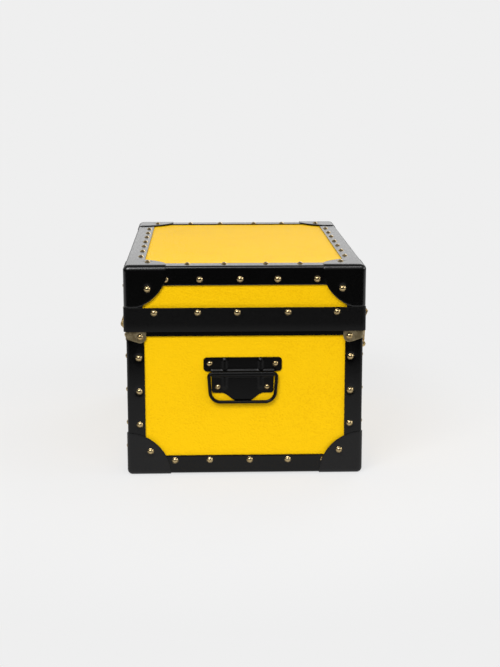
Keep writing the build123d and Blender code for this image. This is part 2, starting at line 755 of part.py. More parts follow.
with BuildPart() as catch_plates:
    for sx in SIDES:
        x = sx * catch_place
        slab(x - catch_width / 2, x + catch_width / 2, -cover_y, -cover_y - catch_sheet,
             claw_z - plate_low, claw_z + plate_top)
        ear = (catch_width - claw_width) / 2 - knuckle_gap
        for start in (x - catch_width / 2, x + catch_width / 2 - ear):
            with BuildSketch(section_plane(start, claw_y, claw_z)):
                Circle(claw_knuckle)
                Polygon(
                    (-cover_y - claw_y, -ear_web[1]),
                    (-cover_y - claw_y, -ear_web[0]),
                    (0.0, 0.0),
                    (-claw_knuckle * cos(radians(ear_web_angle)), -claw_knuckle * sin(radians(ear_web_angle))),
                    align=None,
                )
                Circle(claw_pin + pin_slack, mode=Mode.SUBTRACT)
            extrude(amount=ear)
save(catch_plates, "catch_plates")

with BuildPart() as catch_pins:
    for sx in SIDES:
        low = sx * catch_place - catch_width / 2
        with BuildSketch(section_plane(low, claw_y, claw_z)):
            Circle(claw_pin)
        extrude(amount=catch_width)
        for start in (low - pin_head_height, low + catch_width):
            with BuildSketch(section_plane(start, claw_y, claw_z)):
                Circle(pin_head)
            extrude(amount=pin_head_height)
save(catch_pins, "catch_pins")

for sx, name in zip(SIDES, ("left", "right")):
    with BuildPart() as catch_claw:
        with BuildSketch(section_plane(sx * catch_place - claw_width / 2, claw_y, claw_z, claw_released)):
            Circle(claw_knuckle)
            Polygon(
                (blade_out, 0.0),
                (blade_out, nose_low - thumb_root),
                (blade_out - thumb_out, nose_low + thumb_low),
                (blade_out - thumb_root, nose_low + thumb_tip),
                (blade_out + nose_root, nose_low + nose_root_rise),
                (claw_reach, nose_low + nose_thick),
                (claw_reach, nose_low),
                (blade_out + claw_blade, nose_low),
                (blade_out + claw_blade, 0.0),
                align=None,
            )
            Circle(claw_pin + pin_slack, mode=Mode.SUBTRACT)
        extrude(amount=claw_width)
    save(catch_claw, f"catch_claw_{name}")

for sx in SIDES:
    places = [sx * catch_place + dx for dx in catch_rivets]
    body_seats += on_long(-1, cover_y + catch_sheet, places, claw_z + catch_rivet_rise)
    lid_seats += on_long(-1, valance_y + catch_sheet, places, valance_top - strike_rivet_drop)

# ---------------------------------------------------------------- lock

case_top = body_top - case_drop
case_low = case_top - case_height
case_front = -cover_y - case_out
hasp_back = -valance_y
hasp_front = hasp_back - tongue_plate
hasp_low = hinge_z - hasp_reach
notch_low = hasp_low + notch_rise
bolt_low = notch_low + (notch_height - bolt_height) / 2
bolt_start = hasp_width / 2 + hasp_slack
channel_end = bolt_start + bolt_length + hasp_slack
button_x = bolt_start + bolt_length / 2
bolt_travel = notch_depth - hasp_slack

with BuildPart() as lock_case:
    slab(-case_width / 2, case_width / 2, -cover_y, case_front, case_low, case_top)
    front_edges = lock_case.faces().sort_by(Axis.Y)[0].edges()
    fillet(front_edges, case_round)
    slab(-case_width / 2, case_width / 2, -cover_y, -side_y, rim_low - joint_gap, case_top, Mode.SUBTRACT)
    slab(-hasp_width / 2 - hasp_slack, hasp_width / 2 + hasp_slack,
         hasp_back + hasp_slack, hasp_front - hasp_swing, hasp_low - hasp_room, case_top, Mode.SUBTRACT)
    slab(0, channel_end, hasp_back + bolt_slack, hasp_front - bolt_slack,
         bolt_low - bolt_slack, bolt_low + bolt_height + bolt_slack, Mode.SUBTRACT)
    slab(button_x - bolt_travel - button - bolt_slack, button_x + button + bolt_slack,
         hasp_front, case_front, bolt_low + bolt_height / 2 - button - bolt_slack,
         bolt_low + bolt_height / 2 + button + bolt_slack, Mode.SUBTRACT)
save(lock_case, "lock_case")

with BuildPart() as lock_bolt:
    slab(bolt_start, bolt_start + bolt_length, hasp_back, hasp_front, bolt_low, bolt_low + bolt_height)
    with BuildSketch(Plane(origin=(button_x, hasp_front, bolt_low + bolt_height / 2), z_dir=(0, -1, 0))):
        Circle(button)
    extrude(amount=hasp_front - case_front + button_out)
    fillet(lock_bolt.faces().sort_by(Axis.Y)[0].edges(), button_round)
save(lock_bolt, "lock_bolt")

with BuildPart() as lock_hasp:
    slab(-hasp_width / 2, hasp_width / 2, hasp_back, hasp_front, hasp_low, valance_top - hasp_top)
    slab(hasp_width / 2 - notch_depth, hasp_width / 2, hasp_back, hasp_front,
         notch_low, notch_low + notch_height, Mode.SUBTRACT)
    fillet(lock_hasp.edges().filter_by(Axis.Y).group_by(Axis.Z)[-1], hasp_round)
save(lock_hasp, "lock_hasp")

lid_seats += on_long(-1, valance_y + tongue_plate, (0.0,), valance_top - strike_rivet_drop)

# ---------------------------------------------------------------- lid stay

stay_radius = hinge_z - wall_low - stay_floor_gap
stay_outer_x = inner_x - lining - stay_wall_gap
keeper_low = wall_top - keeper_height
keeper_angle = 180.0 - degrees(asin((keeper_low - hinge_z) / stay_radius))
stop_start = keeper_angle + lid_open + stop_gap
stay_start = 180.0 - stay_upper_angle
keeper_y = hinge_y - stay_radius
keeper_sag = stay_radius - (stay_radius ** 2 - (wall_top - hinge_z) ** 2) ** 0.5  # the arc leans in by this


def stay_arc(radius, half_width, start, end):
    """An arc band about the hinge axis, between two angles from +Y."""
    inner = radius - half_width
    outer = radius + half_width
    with BuildSketch() as band:
        with BuildLine():
            near = CenterArc((0, 0), inner, start, end - start)
            far = CenterArc((0, 0), outer, start, end - start)
            Line(near @ 0, far @ 0)
            Line(near @ 1, far @ 1)
        make_face()
    return band.sketch


with BuildPart() as stay_quadrant:
    with BuildSketch(section_plane(stay_outer_x - stay_sheet, hinge_y, hinge_z)):
        add(stay_arc(stay_radius, stay_width / 2, stay_start, stop_start + stop_angle))
        add(stay_arc(stay_radius, stay_width, stop_start, stop_start + stop_angle))
    extrude(amount=stay_sheet)
    for angle in boss_angles:
        y = stay_radius * cos(radians(stay_start + angle))
        z = stay_radius * sin(radians(stay_start + angle))
        with BuildSketch(section_plane(stay_outer_x, hinge_y, hinge_z)):
            with Locations((y, z)):
                Circle(boss)
        extrude(amount=lid_inner_x - lining - stay_outer_x)
save(stay_quadrant, "stay_quadrant")

with BuildPart() as stay_keeper:
    keeper_in = stay_outer_x - stay_sheet - stay_slack - keeper_wall
    front = keeper_y - stay_width / 2 - 2 * stay_slack
    back = keeper_y + stay_width / 2 + 2 * stay_slack + keeper_sag
    slab(keeper_in, inner_x - lining, front - keeper_wall, back + keeper_wall, keeper_low, wall_top)
    slab(keeper_in + keeper_wall, stay_outer_x + stay_slack, front, back, keeper_low, wall_top, Mode.SUBTRACT)
save(stay_keeper, "stay_keeper")

# ---------------------------------------------------------------- rivets of the body and the lid


def clear_of(places, centres, half):
    """The places whose rivet heads miss plates of the given half width."""
    return [p for p in places if all(abs(p - c) > half + rivet_round + plate_clear for c in centres)]


front_valance = clear_of(long_valance, (-catch_place, catch_place), catch_width / 2)
front_valance = clear_of(front_valance, (0.0,), hasp_width / 2)
back_valance = clear_of(long_valance, (-hinge_place, hinge_place), hinge_width / 2)
lid_seats += on_long(-1, valance_y, front_valance, valance_top - valance_row)
lid_seats += on_long(1, valance_y, back_valance, valance_top - valance_row)

with BuildPart() as tucked_base_rivets:
    with Locations(*tucked_base_seats):
        add(rivet)
    with Locations(*[(s * (end_x + cap_out), -(side_y + cap_out), 0) for s in SIDES]):
        Sphere(foot_cap_reach + joint_gap, mode=Mode.SUBTRACT)

with BuildPart() as tucked_lid_rivets:
    with Locations(*tucked_lid_seats):
        add(rivet)
    with Locations(*[(s * (lid_end_x + cap_out), lid_side_y + cap_out, height) for s in SIDES]):
        Sphere(lid_cap_reach + joint_gap, mode=Mode.SUBTRACT)

with BuildPart() as body_rivets:
    with Locations(*body_seats):
        add(rivet)
    add(tucked_base_rivets.part)
save(body_rivets, "body_rivets")

with BuildPart() as lid_rivets:
    with Locations(*lid_seats):
        add(rivet)
    add(tucked_lid_rivets.part)
save(lid_rivets, "lid_rivets")
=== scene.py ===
import json
import math
import random

import bmesh
import bpy
from mathutils import Matrix, Vector, noise


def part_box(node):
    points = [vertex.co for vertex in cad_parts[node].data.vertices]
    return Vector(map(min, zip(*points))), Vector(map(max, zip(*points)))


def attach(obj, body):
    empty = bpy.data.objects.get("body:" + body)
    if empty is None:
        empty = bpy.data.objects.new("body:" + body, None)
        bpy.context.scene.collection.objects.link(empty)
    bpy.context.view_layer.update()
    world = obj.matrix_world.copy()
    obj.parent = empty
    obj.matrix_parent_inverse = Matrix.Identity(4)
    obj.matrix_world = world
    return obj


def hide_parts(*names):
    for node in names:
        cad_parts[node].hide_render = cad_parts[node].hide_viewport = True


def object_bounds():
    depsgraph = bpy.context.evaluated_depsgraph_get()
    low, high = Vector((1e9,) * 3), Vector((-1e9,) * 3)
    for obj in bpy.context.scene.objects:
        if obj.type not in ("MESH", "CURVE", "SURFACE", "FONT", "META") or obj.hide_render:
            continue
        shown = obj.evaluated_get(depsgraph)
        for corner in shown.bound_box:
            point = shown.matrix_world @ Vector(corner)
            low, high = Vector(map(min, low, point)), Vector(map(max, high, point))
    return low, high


# A storage trunk: yellow leathercloth over plywood, black fibre bindings, pressed steel caps,
# brass rivets, a drop handle on each end, snap catches, a lock and a quadrant lid stay.
# Everything is in metres in the CAD frame: X along the length, -Y the front, +Z up.

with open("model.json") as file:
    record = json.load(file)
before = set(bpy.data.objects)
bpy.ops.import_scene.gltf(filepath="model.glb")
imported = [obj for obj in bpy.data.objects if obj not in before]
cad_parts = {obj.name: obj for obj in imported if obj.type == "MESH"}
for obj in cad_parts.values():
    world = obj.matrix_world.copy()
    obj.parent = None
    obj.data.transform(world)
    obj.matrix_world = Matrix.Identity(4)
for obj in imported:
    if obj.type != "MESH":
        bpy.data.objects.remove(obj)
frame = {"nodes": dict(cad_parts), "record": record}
cad_low, cad_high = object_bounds()
record = frame["record"]
node_body = {node: body for body, nodes in record["behaviour"]["bodies"].items() for node in nodes}

MM = 0.001
SIDES = (-1, 1)
SMOOTH_ANGLE = math.radians(35)      # faces that meet flatter than this are shaded as one
SHARP_ANGLE = math.radians(40)       # edges sharper than this are broken
MERGE = 0.001 * MM                   # corners this close are one
random.seed(11)

# Pressed and riveted sheet
EDGE_BREAK = 0.3 * MM                # worn radius on cut edges
SEAT_DEPTH = 0.4 * MM                # how far a rivet pulls its sheet in
SEAT_REACH = 8.0 * MM                # radius of the dimple that this makes
SEAT_FLAT = 0.6                      # share of the head's radius over which the dimple is level
SEAT_BELOW = 3.5 * MM                # sheet is sunk from this far under the seat
SEAT_ABOVE = 0.6 * MM                # up to this far over it
SEAT_MARGIN = 1.0 * MM               # a seat may lie this far outside a node's box
CUT_HEAD = 0.2 * MM                  # a head out of round by this much was cut off by a cap
FINE = 2.1 * MM                      # cells beside a rivet
FINE_CELLS = 4                       # of them on each side of its middle
COARSE = 12.0 * MM                   # cells elsewhere
LEAST_CELL = 0.6 * FINE              # no cut is made closer than this to the last one
RIPPLE = 0.10 * MM                   # unevenness of the bindings
VALANCE_RIPPLE = 0.6 * RIPPLE
BRACKET_RIPPLE = 0.5 * RIPPLE
RIPPLE_SCALE = 22.0                  # per metre

# Corner caps
CAP_SHEET = 1.2                      # thickness in millimetres
FOOT_CAP_ROUND = 7.5 * MM            # of the cap's edges and corner
LID_CAP_ROUND = 8.0 * MM
LID_LOBE_SHARE = 64.5 / 61.5         # a lid cap's lobes are cut off before their full radius
CAP_ROWS = 30                        # rings of cells across a lobe
CAP_COLUMNS = 44                     # cells round a lobe
CAP_DIMPLE = 0.7 * MM                # how far its rivets pull it in
CAP_DIMPLE_REACH = 1.2 * SEAT_REACH
CAP_RIPPLE = 0.06 * MM
CAP_RIPPLE_SCALE = 30.0
CAP_MERGE = 0.02 * MM
RIM_BACK = 0.55                      # where the rolled rim starts, in millimetres from the edge
# The rim: share of the lobe's radius, millimetres back from it and millimetres off the outer face
CAP_RIM = (
    (1.0, RIM_BACK, 0.0),
    (1.0, 0.18, -0.12),
    (1.0, 0.0, -0.45),
    (1.0, 0.0, -1.0),
    (1.0, 0.4, -CAP_SHEET),
)

# Rivets
RIVET_SEGMENTS = 28
RIVET_RINGS = 8
RIVET_SKIRT = 0.3 * MM               # rim carried down into the dimple
RIVET_FLANGE = 0.42 * MM             # height of the flange under the dome
RIVET_LEDGE = 0.28 * MM              # and how far it stands out from the dome
RIVET_LIP = ((0.0, 0.22 * MM), (0.1 * MM, 0.36 * MM))     # its edge: back from the radius, and height
RIVET_TILT = math.radians(3.0)
RIVET_SIZES = (0.97, 1.0)


# ---------------------------------------------------------------- materials


def new_material(name, colour, **sockets):
    """A principled material. Keywords name its sockets, with _ for a space."""
    made = bpy.data.materials.new(name)
    made.use_nodes = True
    shader = made.node_tree.nodes["Principled BSDF"]
    shader.inputs["Base Color"].default_value = (*colour, 1.0)
    for key, value in sockets.items():
        shader.inputs[key.replace("_", " ")].default_value = value
    made.diffuse_color = (*colour, 1.0)
    return made


def add_node(material, kind, inputs, **settings):
    """A node whose inputs are given values or linked from other nodes' sockets."""
    made = material.node_tree.nodes.new(kind)
    for key, value in settings.items():
        setattr(made, key, value)
    for key, value in inputs.items():
        if isinstance(value, bpy.types.NodeSocket):
            material.node_tree.links.new(value, made.inputs[key])
        else:
            made.inputs[key].default_value = value
    return made


def surface_place(material, stretch=(1.0, 1.0, 1.0)):
    """The place on the object in metres, stretched along its axes."""
    place = add_node(material, "ShaderNodeTexCoord", {})
    return add_node(
        material, "ShaderNodeMapping", {"Vector": place.outputs["Object"], "Scale": stretch}
    ).outputs["Vector"]


def noise_of(material, place, scale, detail=3.0, roughness=0.55):
    return add_node(
        material,
        "ShaderNodeTexNoise",
        {"Vector": place, "Scale": scale, "Detail": detail, "Roughness": roughness},
    ).outputs["Fac"]


def ramp_of(material, factor, *stops):
    """A colour ramp. Each stop is a place and a grey value or a colour."""
    made = add_node(material, "ShaderNodeValToRGB", {"Fac": factor})
    for extra in range(len(stops) - 2):
        made.color_ramp.elements.new(0.5)
    for element, (place, value) in zip(made.color_ramp.elements, stops):
        colour = value if isinstance(value, tuple) else (value, value, value)
        element.position = place
        element.color = (*colour, 1.0)
    return made.outputs["Color"]


def bump_of(material, height, distance, under=None, strength=1.0):
    inputs = {"Height": height, "Distance": distance, "Strength": strength}
    if under is not None:
        inputs["Normal"] = under
    return add_node(material, "ShaderNodeBump", inputs).outputs["Normal"]


def sum_of(material, first, second, share):
    """first + second x share."""
    return add_node(
        material, "ShaderNodeMath", {0: second, 1: share, 2: first}, operation="MULTIPLY_ADD"
    ).outputs["Value"]


def feed(material, **links):
    """Link sockets into the principled shader. Keywords name its sockets, with _ for a space."""
    shader = material.node_tree.nodes["Principled BSDF"]
    for key, socket in links.items():
        material.node_tree.links.new(socket, shader.inputs[key.replace("_", " ")])


def leathercloth():
    """Coated cloth with a fine pebbled grain and a faint weave under it."""
    made = new_material(
        "yellow leathercloth", (0.93, 0.56, 0.002), Roughness=0.40, Specular_IOR_Level=0.05
    )
    place = surface_place(made)
    pebbles = add_node(
        made,
        "ShaderNodeTexVoronoi",
        {"Vector": place, "Scale": 330.0, "Smoothness": 0.6, "Randomness": 0.9},
        feature="SMOOTH_F1",
    ).outputs["Distance"]
    creases = noise_of(made, place, 900.0, 4.0)
    patches = noise_of(made, place, 14.0, 5.0)
    grain = sum_of(made, pebbles, creases, 0.5)
    tone = sum_of(made, patches, grain, 0.75)
    shades = (0.45, (0.84, 0.47, 0.001)), (0.75, (0.93, 0.535, 0.002)), (1.0, (0.97, 0.58, 0.003))
    feed(
        made,
        Base_Color=ramp_of(made, tone, *shades),
        Roughness=ramp_of(made, grain, (0.2, 0.36), (0.9, 0.52)),
        Normal=bump_of(made, grain, 0.45 * MM, strength=1.0),
    )
    return made


def black_sheet(name, grey, rough, specular, wave=0.12, scratches=0.5, skin_depth=0.015):
    """Black fibre or enamelled steel: slow waves, a fine skin and faint long scratches."""
    plain = (grey, grey, grey * 1.05)
    scuffed = (grey * 2.2, grey * 2.1, grey * 2.1)
    made = new_material(name, plain, Roughness=rough, Specular_IOR_Level=specular)
    place = surface_place(made)
    waves = noise_of(made, place, 35.0, 2.0)
    skin = noise_of(made, place, 1400.0, 3.0)
    scuffs = noise_of(made, surface_place(made, (1.0, 6.0, 14.0)), 60.0, 6.0, 0.75)
    under = bump_of(made, waves, wave * MM, strength=0.6)
    low, high = rough * 0.82, min(1.0, rough * 1.35)
    feed(
        made,
        Base_Color=ramp_of(made, scuffs, (0.45, plain), (0.78, scuffed)),
        Roughness=ramp_of(made, scuffs, (0.35, low), (0.35 + 0.4 * scratches, high)),
        Normal=bump_of(made, skin, skin_depth * MM, under, 0.3),
    )
    return made


def brass(name, bright, dull, rough, tarnish_scale, tarnish_start, brushed=0.0):
    """Brass that goes from a bright to a dull colour in soft patches."""
    made = new_material(name, bright, Metallic=1.0, Roughness=rough)
    place = surface_place(made)
    patches = noise_of(made, place, tarnish_scale, 6.0, 0.62)
    fine = noise_of(made, surface_place(made, (1.0, 1.0, 1.0 + 30.0 * brushed)), 900.0, 3.0)
    tarnish = sum_of(made, patches, fine, 0.12)
    worn = min(1.0, rough * 2.2)
    feed(
        made,
        Base_Color=ramp_of(made, tarnish, (tarnish_start, bright), (tarnish_start + 0.22, dull)),
        Roughness=ramp_of(made, tarnish, (tarnish_start - 0.05, rough), (tarnish_start + 0.3, worn)),
        Normal=bump_of(made, sum_of(made, fine, patches, 0.6), 0.03 * MM, strength=0.5),
    )
    return made


def plywood():
    made = new_material("birch plywood", (0.62, 0.44, 0.25), Roughness=0.6)
    rings = add_node(
        made,
        "ShaderNodeTexWave",
        {"Vector": surface_place(made, (0.25, 1.0, 1.0)), "Scale": 22.0, "Distortion": 7.0,
         "Detail": 3.0, "Detail Scale": 1.6},
        bands_direction="Z",
    ).outputs["Fac"]
    fibres = noise_of(made, surface_place(made, (0.06, 1.0, 1.0)), 900.0, 4.0)
    figure = sum_of(made, rings, fibres, 0.6)
    shades = (0.15, (0.42, 0.26, 0.12)), (0.6, (0.63, 0.44, 0.24)), (1.0, (0.72, 0.54, 0.33))
    feed(
        made,
        Base_Color=ramp_of(made, figure, *shades),
        Normal=bump_of(made, fibres, 0.08 * MM, strength=0.5),
    )
    return made


def lining_paper():
    made = new_material("lining paper", (0.70, 0.66, 0.57), Roughness=0.85)
    place = surface_place(made)
    fibres = noise_of(made, place, 420.0, 6.0, 0.7)
    stain = noise_of(made, place, 9.0, 4.0)
    tone = sum_of(made, stain, fibres, 0.25)
    feed(
        made,
        Base_Color=ramp_of(made, tone, (0.35, (0.62, 0.575, 0.48)), (0.8, (0.73, 0.69, 0.60))),
        Normal=bump_of(made, fibres, 0.06 * MM, strength=0.6),
    )
    return made


materials = {
    "plywood": plywood(),
    "yellow_leathercloth": leathercloth(),
    "lining_paper": lining_paper(),
    "black_fibre": black_sheet("black fibre", 0.0004, 0.16, 0.25),
    "gloss_fibre": black_sheet("gloss fibre", 0.0004, 0.16, 0.55, 0.2),
    "lid_cap_enamel": black_sheet("gloss cap enamel", 0.0005, 0.15, 0.52, 0.12, 0.2),
    "foot_cap_enamel": black_sheet("satin cap enamel", 0.0060, 0.34, 0.24, 0.12),
    # A darker, duller copy of the black fibre: painted shade for the rim binding, recessed under the
    # valance
    "painted_shade_fibre": black_sheet("fibre with painted shade", 0.0003, 0.22, 0.05),
    "valance_enamel": black_sheet("satin valance enamel", 0.0018, 0.32, 0.17, 0.08),
    "black_handle_steel": black_sheet("handle enamel", 0.0005, 0.20, 0.17, 0.03, 0.3, 0.003),
    "brass_rivet": brass("brass rivets", (0.46, 0.35, 0.18), (0.28, 0.20, 0.09), 0.08, 160.0, 0.52),
    "antique_brass": brass("antique brass", (0.40, 0.33, 0.20), (0.17, 0.135, 0.075), 0.32, 110.0, 0.42),
    "brass_hardware": brass("brushed brass", (0.62, 0.47, 0.22), (0.44, 0.32, 0.14), 0.26, 45.0, 0.48, 1.0),
    "stay_steel": brass("plated stay", (0.66, 0.52, 0.27), (0.42, 0.31, 0.14), 0.24, 70.0, 0.55, 1.0),
}


# ---------------------------------------------------------------- mesh helpers


def smooth_step(value):
    """0 up to 0, 1 from 1 on and a smooth rise between them."""
    value = min(1.0, max(0.0, value))
    return value * value * (3 - 2 * value)


def extents(vertices):
    """Lowest and highest corner of the box round some vertices."""
    low = Vector([min(v.co[axis] for v in vertices) for axis in range(3)])
    high = Vector([max(v.co[axis] for v in vertices) for axis in range(3)])
    return low, high


def clean_copy(*nodes):
    """CAD nodes in one bmesh, with shared corners merged and flat faces made whole."""
    made = bmesh.new()
    for node in nodes:
        made.from_mesh(frame["nodes"][node].data)
    bmesh.ops.remove_doubles(made, verts=made.verts, dist=MERGE)
    bmesh.ops.dissolve_limit(made, angle_limit=math.radians(1), verts=made.verts, edges=made.edges)
    return made


def break_edges(made, width=EDGE_BREAK):
    """Round the sharp edges, as paint, wear and pressing leave them."""
    sharp = [e for e in made.edges if e.is_manifold and e.calc_face_angle(0.0) > SHARP_ANGLE]
    bmesh.ops.bevel(
        made, geom=sharp, offset=width, segments=2, profile=0.5, affect="EDGES", clamp_overlap=True
    )


def islands(made):
    """The separate solids of a bmesh, as lists of vertices."""
    found = []
    seen = set()
    for start in made.verts:
        if start in seen:
            continue
        group = [start]
        seen.add(start)
        for vertex in group:
            for edge in vertex.link_edges:
                other = edge.other_vert(vertex)
                if other not in seen:
                    seen.add(other)
                    group.append(other)
        found.append(group)
    return found


def piece(made, name, material, *nodes):
    """Finish a bmesh as the piece that stands for CAD nodes and rides on their body."""
    bmesh.ops.recalc_face_normals(made, faces=made.faces)
    mesh = bpy.data.meshes.new(name)
    made.to_mesh(mesh)
    made.free()
    mesh.shade_smooth()
    mesh.set_sharp_from_angle(angle=SMOOTH_ANGLE)
    mesh.materials.append(materials[material])
    shown = bpy.data.objects.new(name, mesh)
    bpy.context.scene.collection.objects.link(shown)
    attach(shown, node_body[nodes[0]])
    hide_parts(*nodes)
    return shown


# ---------------------------------------------------------------- rivet seats


class Seat:
    """Where one rivet head sits: the centre of its flat side, its outward normal and its size."""

    def __init__(self, vertices):
        low, high = extents(vertices)
        size = high - low
        out = min(range(3), key=lambda axis: size[axis])
        sign = 1 if low[out] + high[out] > 0 else -1
        across = sorted(size[axis] for axis in range(3) if axis != out)
        self.centre = (low + high) / 2
        self.centre[out] = low[out] if sign > 0 else high[out]
        self.normal = Vector([sign if axis == out else 0.0 for axis in range(3)])
        self.radius = across[1] / 2
        self.rise = size[out]
        self.whole = across[1] - across[0] < CUT_HEAD


seats = {}
for rivet_node in ("body_rivets", "lid_rivets", "handle_rivets"):
    source = bmesh.new()
    source.from_mesh(frame["nodes"][rivet_node].data)
    bmesh.ops.remove_doubles(source, verts=source.verts, dist=MERGE)
    seats[rivet_node] = [Seat(group) for group in islands(source)]
    source.free()


def seats_near(low, high):
    """The seats inside a box."""
    found = []
    for group in seats.values():
        for seat in group:
            if all(low[a] - SEAT_MARGIN < seat.centre[a] < high[a] + SEAT_MARGIN for a in range(3)):
                found.append(seat)
    return found


def press_seats(made, near, depth=SEAT_DEPTH, reach=SEAT_REACH):
    """Sink the sheet round each rivet."""
    for seat in near:
        for vertex in made.verts:
            offset = vertex.co - seat.centre
            out = offset.dot(seat.normal)
            if not -SEAT_BELOW < out < SEAT_ABOVE:
                continue
            distance = (offset - out * seat.normal).length
            share = smooth_step((reach - distance) / (reach - SEAT_FLAT * seat.radius))
            vertex.co -= seat.normal * depth * share


def cut_cells(made, near):
    """Divide the faces into cells, fine beside the rivets and coarse between them."""
    low, high = extents(made.verts)
    for axis in range(3):
        places = [low[axis] + COARSE * i for i in range(1, int((high[axis] - low[axis]) / COARSE) + 1)]
        for seat in near:
            if not seat.normal[axis]:
                places += [seat.centre[axis] + FINE * i for i in range(-FINE_CELLS, FINE_CELLS + 1)]
        direction = Vector([1.0 if a == axis else 0.0 for a in range(3)])
        last = low[axis]
        for place in sorted(places):
            if place - last < LEAST_CELL or place > high[axis] - LEAST_CELL:
                continue
            everything = made.verts[:] + made.edges[:] + made.faces[:]
            bmesh.ops.bisect_plane(
                made, geom=everything, dist=MERGE, plane_co=direction * place, plane_no=direction
            )
            last = place


def ripple(made, amount, scale):
    """A slow unevenness across the sheet, nearly the same on both of its sides.

    Blender starts noise_vector anew each time it runs, so the ripple differs a little every time.
    """
    for vertex in made.verts:
        wave = noise.noise_vector(vertex.co * scale)
        vertex.co += Vector(wave) * amount


# ---------------------------------------------------------------- bindings, valance and brackets


def binding(node, material, depth=SEAT_DEPTH, amount=RIPPLE):
    """A refined binding or sheet: broken edges, dimples at its rivets and a slow ripple."""
    made = clean_copy(node)
    low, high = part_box(node)
    near = seats_near(low, high)
    break_edges(made)
    cut_cells(made, near)
    made.normal_update()
    press_seats(made, near, depth)
    ripple(made, amount, RIPPLE_SCALE)
    return piece(made, f"{node}_shaped", material, node)


# The rim binding gets the darker copy of the black fibre, painted shade for its recess under the valance
FIBRES = {"body_rim_binding": "painted_shade_fibre", "lid_top_bindings": "gloss_fibre"}
for fibre_node in sorted(n for n in frame["nodes"] if "binding" in n):
    binding(fibre_node, FIBRES.get(fibre_node, "black_fibre"))
for valance_node in sorted(n for n in frame["nodes"] if n.startswith("valance_")):
    binding(valance_node, "valance_enamel", amount=VALANCE_RIPPLE)
binding("rim_brackets", "antique_brass", amount=BRACKET_RIPPLE)


# ---------------------------------------------------------------- corner caps


def rounded_corner(point, radius, offset):
    """Move a point of a sharp corner at the origin onto the rounded one, then out by offset."""
    inner = Vector([max(c, radius) for c in point])
    return inner + (Vector(point) - inner).normalized() * (radius + offset)


def corner_cap(node, radius, material, lobe_share):
    """A pressed cap: three round lobes over a rounded corner, with a rolled rim."""
    low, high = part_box(node)
    reach = high.z - low.z
    lobe = reach * lobe_share
    middle = (cad_low.z + cad_high.z) / 2
    signs = Vector([-1.0 if low[a] + high[a] > 0 else 1.0 for a in range(3)])
    signs.z = 1.0 if high.z < middle else -1.0
    corner = Vector([high[a] if signs[a] < 0 else low[a] for a in range(3)])
    shares = [i / CAP_ROWS for i in range(CAP_ROWS)]
    outer = [(share, RIM_BACK * share, 0.0) for share in shares]
    inner = [(share, RIM_BACK * share, -CAP_SHEET) for share in shares[-2::-2]]
    made = bmesh.new()
    for axis in range(3):
        first, second = [a for a in range(3) if a != axis]
        previous = None
        for share, back, offset in outer + list(CAP_RIM) + inner:
            ring = []
            for j in range(CAP_COLUMNS + 1):
                angle = math.pi / 2 * j / CAP_COLUMNS
                edge = min(lobe, reach / max(math.cos(angle), math.sin(angle)))
                distance = share * edge - back * MM
                point = [0.0, 0.0, 0.0]
                point[first] = max(0.0, distance * math.cos(angle))
                point[second] = max(0.0, distance * math.sin(angle))
                local = rounded_corner(point, radius, offset * MM)
                ring.append(made.verts.new(corner + Vector([local[a] * signs[a] for a in range(3)])))
            if previous:
                for j in range(CAP_COLUMNS):
                    made.faces.new((previous[j], previous[j + 1], ring[j + 1], ring[j]))
            previous = ring
    bmesh.ops.remove_doubles(made, verts=made.verts, dist=CAP_MERGE)
    press_seats(made, seats_near(low, high), CAP_DIMPLE, CAP_DIMPLE_REACH)
    ripple(made, CAP_RIPPLE, CAP_RIPPLE_SCALE)
    for vertex in made.verts:
        vertex.co.z = max(vertex.co.z, cad_low.z)
    return piece(made, f"{node}_pressed", material, node)


for cap_node in sorted(n for n in frame["nodes"] if n.startswith("foot_cap_")):
    corner_cap(cap_node, FOOT_CAP_ROUND, "foot_cap_enamel", 1.0)
for cap_node in sorted(n for n in frame["nodes"] if n.startswith("lid_cap_")):
    corner_cap(cap_node, LID_CAP_ROUND, "lid_cap_enamel", LID_LOBE_SHARE)


# ---------------------------------------------------------------- rivet heads


def rivet_profile(radius, rise):
    """Radius and height of a head from its skirt over a thin flange to the top of its dome."""
    foot = radius - RIVET_LEDGE
    height = rise - RIVET_FLANGE
    sphere = (foot ** 2 + height ** 2) / (2 * height)
    start = math.asin(min(1.0, foot / sphere))
    profile = [(radius, -RIVET_SKIRT)] + [(radius - back, up) for back, up in RIVET_LIP]
    for i in range(RIVET_RINGS):
        angle = start * (1 - i / RIVET_RINGS)
        profile.append((sphere * math.sin(angle), rise - sphere * (1 - math.cos(angle))))
    return profile


def add_head(made, seat, depth):
    """One brass head, seated a little askew."""
    tilt = Matrix.Rotation(random.uniform(-RIVET_TILT, RIVET_TILT), 3, "X")
    tilt = tilt @ Matrix.Rotation(random.uniform(-RIVET_TILT, RIVET_TILT), 3, "Y")
    turn = seat.normal.to_track_quat("Z", "Y").to_matrix() @ tilt
    size = random.uniform(*RIVET_SIZES)
    place = seat.centre - seat.normal * depth
    previous = None
    for radius, height in rivet_profile(seat.radius, seat.rise):
        ring = []
        for j in range(RIVET_SEGMENTS):
            angle = 2 * math.pi * j / RIVET_SEGMENTS
            local = Vector((radius * math.cos(angle), radius * math.sin(angle), height)) * size
            ring.append(made.verts.new(place + turn @ local))
        if previous:
            for j in range(RIVET_SEGMENTS):
                k = (j + 1) % RIVET_SEGMENTS
                made.faces.new((previous[j], previous[k], ring[k], ring[j]))
        else:
            made.faces.new(reversed(ring))
        previous = ring
    top = made.verts.new(place + turn @ Vector((0, 0, seat.rise * size)))
    for j in range(RIVET_SEGMENTS):
        made.faces.new((previous[j], previous[(j + 1) % RIVET_SEGMENTS], top))


